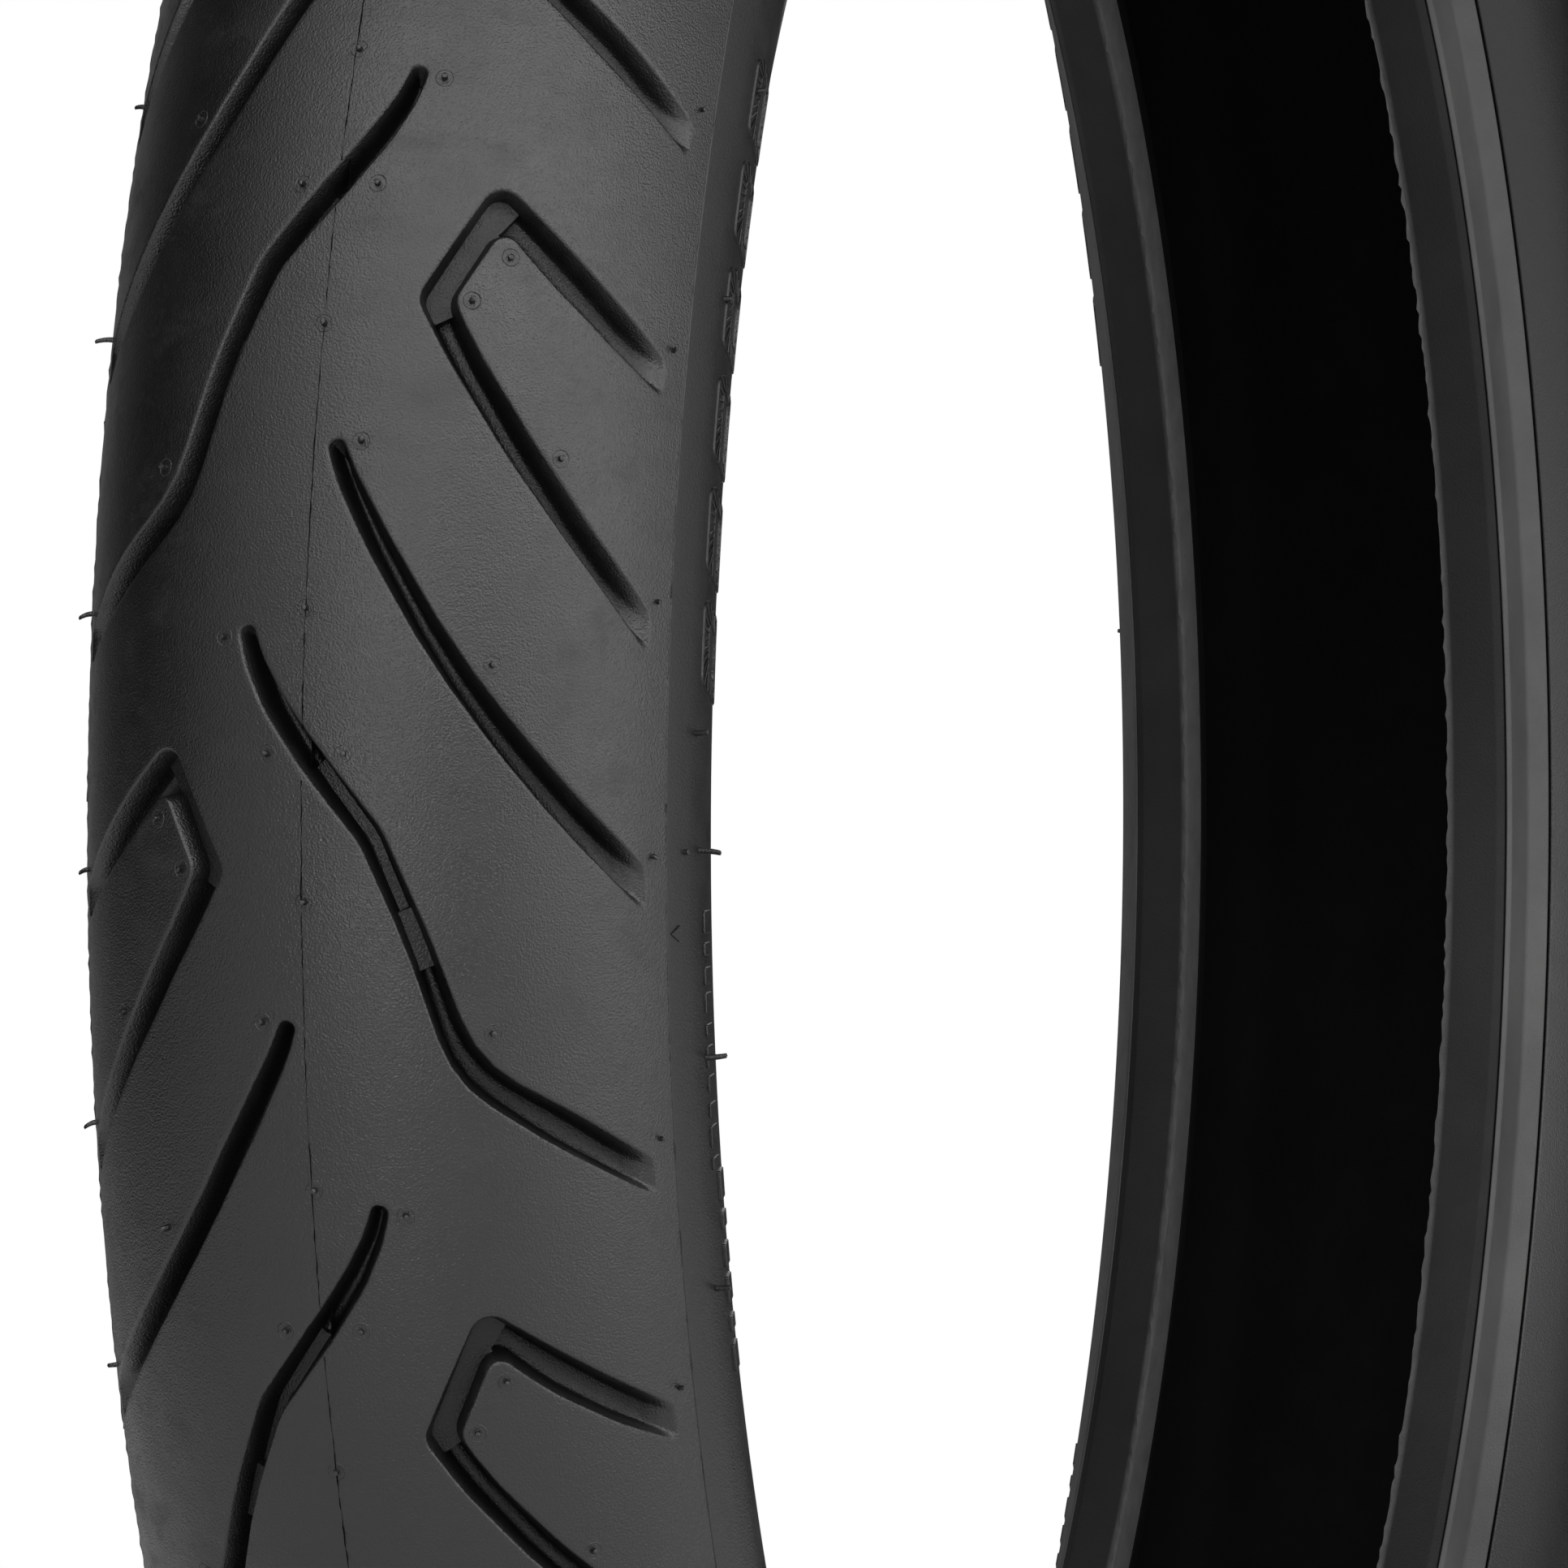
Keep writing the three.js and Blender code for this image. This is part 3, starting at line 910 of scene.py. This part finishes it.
def stem(place, length, radius, lean, rings=4, sides=8):
    """A round rubber stem that stands on a surface, leans over and ends in a dome."""
    here, across, round_, out = local_frame(place)
    angle = np.arange(sides) * 2 * math.pi / sides
    points = []
    for k in range(rings + 1):
        share = k / rings
        height = -ROOT + (length + ROOT) * share
        size = radius * (1 - 0.25 * share)
        bend = max(height, 0) ** 2 / max(length, 1) * np.array(lean)
        centre = here + (out * height + across * bend[0] + round_ * bend[1]) * MM
        points += [centre + (across * math.cos(a) + round_ * math.sin(a)) * size * MM for a in angle]
    points.append(centre + out * radius * 0.35 * MM)
    faces = []
    for k in range(rings):
        faces += bridge(k * sides, (k + 1) * sides, sides)
    top = rings * sides
    faces += [(top + i, top + (i + 1) % sides, len(points) - 1) for i in range(sides)]
    faces.append(tuple(range(sides))[::-1])
    return np.array(points), faces


def vent_ring(place, steps=20):
    """The faint raised circle that the vent's insert leaves round it."""
    here, across, round_, out = local_frame(place)
    size = VENT_RING
    section = [(-size["width"], -0.05), (size["width"], -0.05), (0, size["height"])]
    points = []
    for i in range(steps):
        angle = 2 * math.pi * i / steps
        arm = across * math.cos(angle) + round_ * math.sin(angle)
        points += [here + (arm * (size["radius"] + x) + out * z) * MM for x, z in section]
    faces = []
    for i in range(steps):
        faces += bridge(i * 3, (i + 1) % steps * 3, 3)
    return np.array(points), faces


def vents():
    """Every vent of the pattern, on both sides of every pitch, leaning and cut off at random."""
    stems, rings, hairs, side_stems = [], [], [], []
    for pitch in range(PITCHES):
        for side, shift in ((1, 0), (-1, 0.5)):
            for across, round_ in VENTS:
                place = on_tread(side * across, round_ + (pitch + shift) * PITCH)
                lean = (chance.uniform(-0.15, 0.15), chance.uniform(-0.15, 0.15))
                stems.append(stem(place, chance.uniform(*VENT_HEIGHT), VENT_RADIUS, lean))
                rings.append(vent_ring(place))
            for across, round_ in SHOULDER_VENTS:
                place = on_tread(side * across, round_ + (pitch + shift) * PITCH)
                lean = (chance.uniform(-0.4, 0.4), chance.uniform(-0.4, 0.4))
                length = chance.uniform(*HAIR_LENGTH) if side < 0 else chance.uniform(*VENT_HEIGHT)
                hairs.append(stem(place, length, VENT_RADIUS * 0.8, lean, rings=5))
            for down, round_, length in SIDE_VENTS:
                place = on_side(-side, down, round_ + (pitch + shift) * PITCH)
                lean = (chance.uniform(-0.1, 0.1), chance.uniform(-0.1, 0.1))
                length *= 1 if side > 0 and pitch == 0 else chance.uniform(*CUT_OFF)
                side_stems.append(stem(place, length, VENT_RADIUS * 0.9, lean, rings=5))
    add_piece("tread_vent_stems", *joined(stems), TREAD_RUBBER, "tread_rubber")
    add_piece("tread_vent_rings", *joined(rings), TREAD_RUBBER, "tread_rubber")
    add_piece("shoulder_vent_hairs", *joined(hairs), TREAD_RUBBER, "tread_rubber")
    add_piece("sidewall_vent_stems", *joined(side_stems), SIDE_RUBBER, "sidewall_rubber")


# ---------- flash ----------

# Where the two halves of the mould met, from one S groove to the next.
PARTING_SPANS = [(10.2, 87.4), (94.8, 171.8)]
PARTING_ACROSS = 0.25
PARTING_JITTER = 0.07
PARTING_PLACES = 66
PARTING_FIN = {"low": 0.02, "high": 0.34, "width": 0.28}
# In the groove that follows each span, the flash tore as the tyre came out.
WEB_SPAN = (0.9, 8.1)
WEB_PLACES = 9
WEB_LEAN = 0.25
WEB_FIN = {"low": -2.6, "high": -0.4, "width": 0.3, "foot": -5.3}
SEAM_PLACES = 1400
SEAM_FIN = {"low": 0.0, "high": 0.2, "width": 0.25}
TOE = (216.3, 24.1)  # radius and distance from the middle plane
TOE_PLACES = 900
TOE_FIN = {"low": 0.4, "high": 2.0, "width": 0.5}


def ragged(places, low, high, width, foot=-0.15):
    """A closed fin along a row of places, from a foot in the surface to a ragged edge."""
    points = []
    for place in places:
        height = low + (high - low) * chance.random() ** 2
        points += [place(-width / 2, 0, foot), place(width / 2, 0, foot), place(0, 0, height)]
    faces = [(0, 1, 2)]
    for i in range(len(places) - 1):
        faces += bridge(3 * i, 3 * i + 3, 3)
    last = len(points) - 3
    faces.append((last + 2, last + 1, last))
    return np.array(points), faces


def in_groove(round_):
    """Places in an S groove, under the parting line; the web there leans towards -Y."""
    return lambda a, r, h: tread_place(PARTING_ACROSS + a - WEB_LEAN * (h + GROOVE_DEPTH), round_ + r, h)


def on_toe(side, turn):
    """Places round the toe's edge; height runs inward, towards the axle."""
    radius, y = TOE
    return lambda a, r, h: ring_place(radius - h, side * (y + a), turn + r / radius)


def flash():
    """Fins along the mould's parting lines, with a torn web in each S groove, and at the bead toes."""
    parting, webs = [], []
    for pitch in range(PITCHES):
        for start, end in PARTING_SPANS:
            rounds = np.linspace(start, end, PARTING_PLACES) + pitch * PITCH
            acrosses = [PARTING_ACROSS + chance.uniform(-PARTING_JITTER, PARTING_JITTER) for _ in rounds]
            parting.append(ragged([on_tread(*place) for place in zip(acrosses, rounds)], **PARTING_FIN))
            rounds = end + np.linspace(*WEB_SPAN, WEB_PLACES) + pitch * PITCH
            webs.append(ragged([in_groove(r) for r in rounds], **WEB_FIN))
    # The parting fins wear the near-black painted shadow.
    add_piece("parting_flash", *joined(parting), PARTING_SHADOW, "tread_rubber")
    add_piece("groove_webs", *joined(webs), TREAD_RUBBER, "tread_rubber")
    for end, side in (("left", 1), ("right", -1)):
        rounds = np.linspace(0, PITCHES * PITCH, SEAM_PLACES)
        seam = ragged([on_tread(side * (SEAM + 0.1), r) for r in rounds], **SEAM_FIN)
        add_piece(f"seam_flash_{end}", *seam, SIDE_RUBBER, "tread_rubber")
        turns = np.linspace(0, 2 * math.pi, TOE_PLACES)
        toe = ragged([on_toe(side, turn) for turn in turns], **TOE_FIN)
        add_piece(f"toe_flash_{end}", *toe, FABRIC, "bead_fabric")


# ---------- raised marks on the sidewall ----------

GROUPS = 4
BADGE = {"count": 6, "down": 14.4, "round": 26, "spacing": 19.6, "length": 15.5, "width": 9.6, "slant": 3.4}
BADGE_INNER = {"length": 8.5, "longer": 1.5, "border": 5.2}  # every third inner frame is the same length
BADGE_POINTS = 44
BADGE_HEIGHT = 0.3
HATCHING = {"width": 0.32, "height": 0.24, "every": 2}
# Rows of blocks: first place round, distance below the seam, spacing, how many, (length, width, height).
BLOCK_ROWS = [(-20, 12.6, 4.6, 10, (3.9, 3.4, 0.35)), (-66, 15.5, 6.2, 6, (5.2, 3.4, 0.5))]
ARROW = {"tip": 1.0, "foot": 3.5, "half_width": 1.5, "round": -21.3, "height": 0.35}
SUNK = -0.2  # marks start this far under the surface


def relief(side, loops, ring=False):
    """Loops of (outline in (down, round), height), joined to each other: a capped pad or a ring."""
    count = len(loops[0][0])
    points = np.concatenate([side_place(side, *outline.T, height) for outline, height in loops])
    faces = []
    for k in range(len(loops) if ring else len(loops) - 1):
        faces += bridge(k * count, (k + 1) % len(loops) * count, count)
    if not ring:
        faces += [tuple(range(count)), tuple(range(len(points) - count, len(points)))]
    return points, faces


def pad(side, outline, height, draft=0.1):
    """A flat raised patch of the sidewall."""
    top = outline - outward(outline) * draft
    return relief(side, [(outline, SUNK), (outline, height * 0.7), (top, height)])


def frame_rib(side, outline, width, height=BADGE_HEIGHT, draft=0.1):
    """A raised line that follows a closed outline."""
    foot, top = width / 2, width / 2 - draft
    reach = [(foot, SUNK), (top, height), (-top, height), (-foot, SUNK)]
    return relief(side, [(outline + outward(outline) * out, high) for out, high in reach], ring=True)


def bar(side, start, end, width, height):
    """A straight raised line."""
    start, end = np.array(start, float), np.array(end, float)
    way = (end - start) / np.linalg.norm(end - start)
    aside = np.array([-way[1], way[0]]) * width / 2
    outline = np.array([start + aside, start - aside, end - aside, end + aside])
    return pad(side, outline, height, 0.06)


def even(outline, count):
    """The same closed outline with evenly spaced points, starting at its first one."""
    closed = np.concatenate([outline, outline[:1]])
    along = np.concatenate([[0], np.cumsum(np.linalg.norm(np.diff(closed, axis=0), axis=1))])
    at = np.arange(count) / count * along[-1]
    return np.column_stack([np.interp(at, along, closed[:, k]) for k in (0, 1)])


def badge_outline(length, width, radius):
    """A slanted patch with round corners, as (down, round) from its middle, anticlockwise."""
    slant = BADGE["slant"] * width / BADGE["width"]
    corners = [
        (width, -length - slant),
        (width, length - slant),
        (-width, length + slant),
        (-width, slant - length),
    ]
    return even(rounded([(x / 2, y / 2, radius) for x, y in corners]), BADGE_POINTS)


def badge(side, middle, inner_length):
    """A hatched band between two slanted frames; it stands for no letter."""
    outer = badge_outline(BADGE["length"], BADGE["width"], 2.2) + middle
    inner = badge_outline(inner_length, BADGE["width"] - BADGE_INNER["border"], 0.9) + middle
    width, height, every = HATCHING.values()
    bars = [
        bar(side, inner[k], outer[(k + every) % BADGE_POINTS], width, height)
        for k in range(0, BADGE_POINTS, every)
    ]
    return joined([frame_rib(side, outer, 0.5), frame_rib(side, inner, 0.42), *bars])


def blocks_in_rows(side, turn):
    """Rows of plain blocks of uneven length."""
    blocks = []
    for first, down, spacing, count, (length, width, height) in BLOCK_ROWS:
        for k in range(count):
            own = length * (0.75 + 0.25 * math.cos(2.4 * k))
            outline = np.array([(1, -1), (1, 1), (-1, 1), (-1, -1)]) * (width / 2, own / 2)
            corners = [(*corner, 0.3) for corner in outline + (down, first - k * spacing + turn)]
            blocks.append(pad(side, rounded(corners), height))
    return blocks


def arrow(side, turn):
    """A small triangle that points up at the seam."""
    tip, foot, half, round_, height = ARROW.values()
    middle = turn + round_
    outline = rounded([(tip, middle, 0.2), (foot, middle - half, 0.2), (foot, middle + half, 0.2)])
    return pad(side, outline if area(outline) > 0 else outline[::-1], height)


def marks():
    """Four groups of plain raised marks round each side, and a small arrow in every pitch."""
    for end, side, half in (("left", 1, 0.5), ("right", -1, 0)):
        badges, blocks = [], []
        for group in range(GROUPS):
            turn = (group + half) * PITCHES * PITCH / GROUPS
            for k in range(BADGE["count"]):
                middle = (BADGE["down"], BADGE["round"] + k * BADGE["spacing"] + turn)
                badges.append(badge(side, middle, BADGE_INNER["length"] + BADGE_INNER["longer"] * (k % 3)))
            blocks += blocks_in_rows(side, turn)
        arrows = [arrow(side, (pitch + half) * PITCH) for pitch in range(PITCHES)]
        add_piece(f"sidewall_badges_{end}", *joined(badges), SIDE_RUBBER, "sidewall_rubber", crease=30)
        add_piece(f"sidewall_blocks_{end}", *joined(blocks), SIDE_RUBBER, "sidewall_rubber", crease=30)
        add_piece(f"wear_arrows_{end}", *joined(arrows), SIDE_RUBBER, "sidewall_rubber", crease=30)


marks()
vents()
flash()

# ---------- stage, light and camera ----------


def area_light(name, place, target, size, power):
    data = bpy.data.lights.new(name, "AREA")
    data.shape = "SQUARE"
    data.size = size
    data.energy = power
    light = bpy.data.objects.new(name, data)
    light.location = place
    light.rotation_euler = (Vector(target) - Vector(place)).to_track_quat("-Z", "Y").to_euler()
    light.visible_camera = False
    scene.collection.objects.link(light)


# Soft lights round the tyre: (degrees towards -Y from the -X end, degrees up, metres across, watts)
LIGHTS = {
    "front": (6, 5, 0.5, 10.5),
    "front_high": (0, 45, 1.4, 22),
    "right_front": (60, 10, 1.4, 9),
    "right_high": (60, 40, 1.4, 22),
    "right": (90, 8, 1.4, 17),
    "right_back": (120, 10, 1.4, 4),
    "left_front": (-40, 10, 1.4, 5),
    "left_high": (-40, 45, 1.4, 6),
    "left_back": (-138, 8, 1.0, 0.8),
    "window": (34, 27, 0.35, 4.7),
    "back": (180, 32, 1.4, 14),
    "back_left": (-155, 45, 1.4, 8),
}
LIGHT_REACH = 2.0  # metres from LIGHT_CENTRE
LIGHT_CENTRE = (-0.2, 0, 0)
LIGHT_AIM = (-0.1, 0, 0)

FLOOR_RADIUS = 2.5  # metres; it ends before the camera would see it behind the tyre
FLOOR_GLOW = 0.72  # what the camera sees is pale all over, and the lights add little to it
FLOOR_SEEN = (0.12, 0.12, 0.12, 1)

# The camera, in metres and degrees, as fitted to the photo
CAMERA_PLACE = (-2.3410, -0.7620, 0.0366)
CAMERA_YAW = 18.612
CAMERA_PITCH = -0.707
CAMERA_ROLL = -0.106
CAMERA_LENS = 347.3


def studio():
    """Soft lights on dark surroundings; only the camera sees the white backdrop."""
    world = bpy.data.worlds.new("studio")
    scene.world = world
    world.use_nodes = True
    tree = world.node_tree
    back = next(n for n in tree.nodes if n.type == "BACKGROUND")
    back.inputs["Color"].default_value = (1, 1, 1, 1)
    back.inputs["Strength"].default_value = 0.01
    white = add_node(tree, "ShaderNodeBackground", Color=(1, 1, 1, 1), Strength=1.0)
    mix = tree.nodes.new("ShaderNodeMixShader")
    seen = tree.nodes.new("ShaderNodeLightPath").outputs["Is Camera Ray"]
    out = next(n for n in tree.nodes if n.type == "OUTPUT_WORLD")
    tree.links.new(seen, mix.inputs["Fac"])
    tree.links.new(back.outputs["Background"], mix.inputs[1])
    tree.links.new(white.outputs["Background"], mix.inputs[2])
    tree.links.new(mix.outputs["Shader"], out.inputs["Surface"])
    for name, (turn, lift, size, power) in LIGHTS.items():
        turn, lift = math.radians(turn), math.radians(lift)
        way = Vector((-math.cos(turn) * math.cos(lift), -math.sin(turn) * math.cos(lift), math.sin(lift)))
        area_light(name, Vector(LIGHT_CENTRE) + way * LIGHT_REACH, LIGHT_AIM, size, power)


def floor():
    """A pale round floor. It lights the tyre as a matt surface would."""
    material, tree, bsdf = shader("floor_look", Roughness=0.8)
    place = add_node(tree, "ShaderNodeTexCoord").outputs["Object"]
    seen = tree.nodes.new("ShaderNodeLightPath").outputs["Is Camera Ray"]
    mix = tree.nodes.new("ShaderNodeMix")
    mix.data_type = "RGBA"
    tree.links.new(seen, mix.inputs["Factor"])
    tree.links.new(shades(tree, noise(tree, place, 3, 3), (0.76,) * 3, (0.8,) * 3), mix.inputs["A"])
    mix.inputs["B"].default_value = FLOOR_SEEN
    tree.links.new(mix.outputs["Result"], bsdf.inputs["Base Color"])
    bsdf.inputs["Emission Color"].default_value = (1, 1, 1, 1)
    tree.links.new(math_node(tree, "MULTIPLY", seen, FLOOR_GLOW), bsdf.inputs["Emission Strength"])
    bpy.ops.mesh.primitive_circle_add(vertices=96, radius=FLOOR_RADIUS, fill_type="NGON")
    disc = bpy.context.object
    disc.name = "floor"
    disc.location.z = cad_box[0].z
    disc.data.materials.append(material)


def camera():
    data = bpy.data.cameras.new("camera")
    data.lens = CAMERA_LENS
    data.sensor_width = 36
    data.clip_end = 50
    eye = bpy.data.objects.new("camera", data)
    yaw, pitch, roll = (math.radians(angle) for angle in (CAMERA_YAW, CAMERA_PITCH, CAMERA_ROLL))
    turn = Matrix.Rotation(yaw - math.pi / 2, 4, "Z") @ Matrix.Rotation(math.pi / 2 + pitch, 4, "X")
    eye.matrix_world = Matrix.Translation(CAMERA_PLACE) @ turn @ Matrix.Rotation(roll, 4, "Z")
    scene.collection.objects.link(eye)
    scene.camera = eye


studio()
floor()
camera()
scene.view_settings.view_transform = "Standard"
